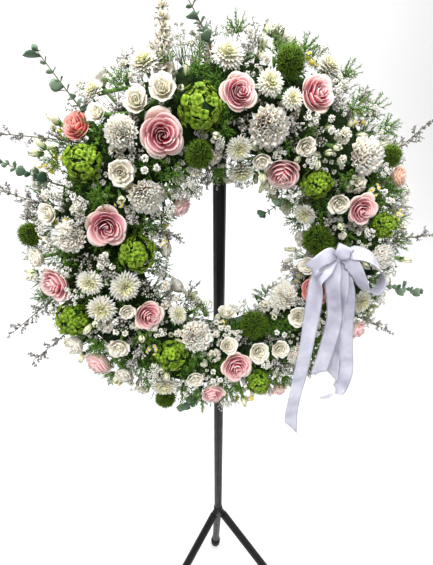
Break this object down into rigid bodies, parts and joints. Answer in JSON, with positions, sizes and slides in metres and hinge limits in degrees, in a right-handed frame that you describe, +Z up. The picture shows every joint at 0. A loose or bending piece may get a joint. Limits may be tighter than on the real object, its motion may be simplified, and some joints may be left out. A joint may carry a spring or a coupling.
{
  "type": "funeral wreath",
  "caption": "Round funeral wreath of pink and cream roses, white blooms and green foliage, tied with a white satin ribbon, on a black tubular stand with three legs.",
  "frame": {"origin": "centre of the bounding box in plan, on the floor", "axes": "+Z up along the pole, -Y the way the wreath faces, +X to the right as seen from the front"},
  "size_m": [0.7386, 0.3331, 1.7162],
  "materials": {
    "stand": "black, semi-gloss",
    "rubber": "matt black",
    "tray": "dark green, matt",
    "foam": "green, porous",
    "greenery": "fresh leaves, matt",
    "rose": "soft petals, pink",
    "carnation": "soft petals, cream",
    "chrysanthemum": "soft petals, white",
    "lisianthus": "soft petals, white",
    "ribbon": "satin, white"
  },
  "bodies": {
    "root": {"carnation_1": "carnation", "carnation_2": "carnation", "carnation_3": "carnation", "carnation_4": "carnation", "carnation_5": "carnation", "carnation_6": "carnation", "carnation_7": "carnation", "carnation_8": "carnation", "chrysanthemum_1": "chrysanthemum", "chrysanthemum_2": "chrysanthemum", "chrysanthemum_3": "chrysanthemum", "chrysanthemum_4": "chrysanthemum", "chrysanthemum_5": "chrysanthemum", "chrysanthemum_6": "chrysanthemum", "chrysanthemum_7": "chrysanthemum", "chrysanthemum_8": "chrysanthemum", "foam_ring": "foam", "foot_back": "rubber", "foot_left": "rubber", "foot_right": "rubber", "greenery_1": "greenery", "greenery_2": "greenery", "greenery_3": "greenery", "greenery_4": "greenery", "greenery_5": "greenery", "greenery_6": "greenery", "greenery_7": "greenery", "greenery_8": "greenery", "hub": "stand", "leg_back": "stand", "leg_left": "stand", "leg_right": "stand", "lisianthus_1": "lisianthus", "lisianthus_2": "lisianthus", "lisianthus_3": "lisianthus", "lisianthus_4": "lisianthus", "lisianthus_5": "lisianthus", "lisianthus_6": "lisianthus", "lisianthus_7": "lisianthus", "pole": "stand", "ribbon": "ribbon", "ring_tray": "tray", "rose_01": "rose", "rose_02": "rose", "rose_03": "rose", "rose_04": "rose", "rose_05": "rose", "rose_06": "rose", "rose_07": "rose", "rose_08": "rose", "rose_09": "rose", "rose_10": "rose", "rose_11": "rose", "rose_12": "rose", "rose_13": "rose", "rose_14": "rose", "rose_15": "rose", "rose_16": "rose", "rose_17": "rose"}
  },
  "joints": []
}
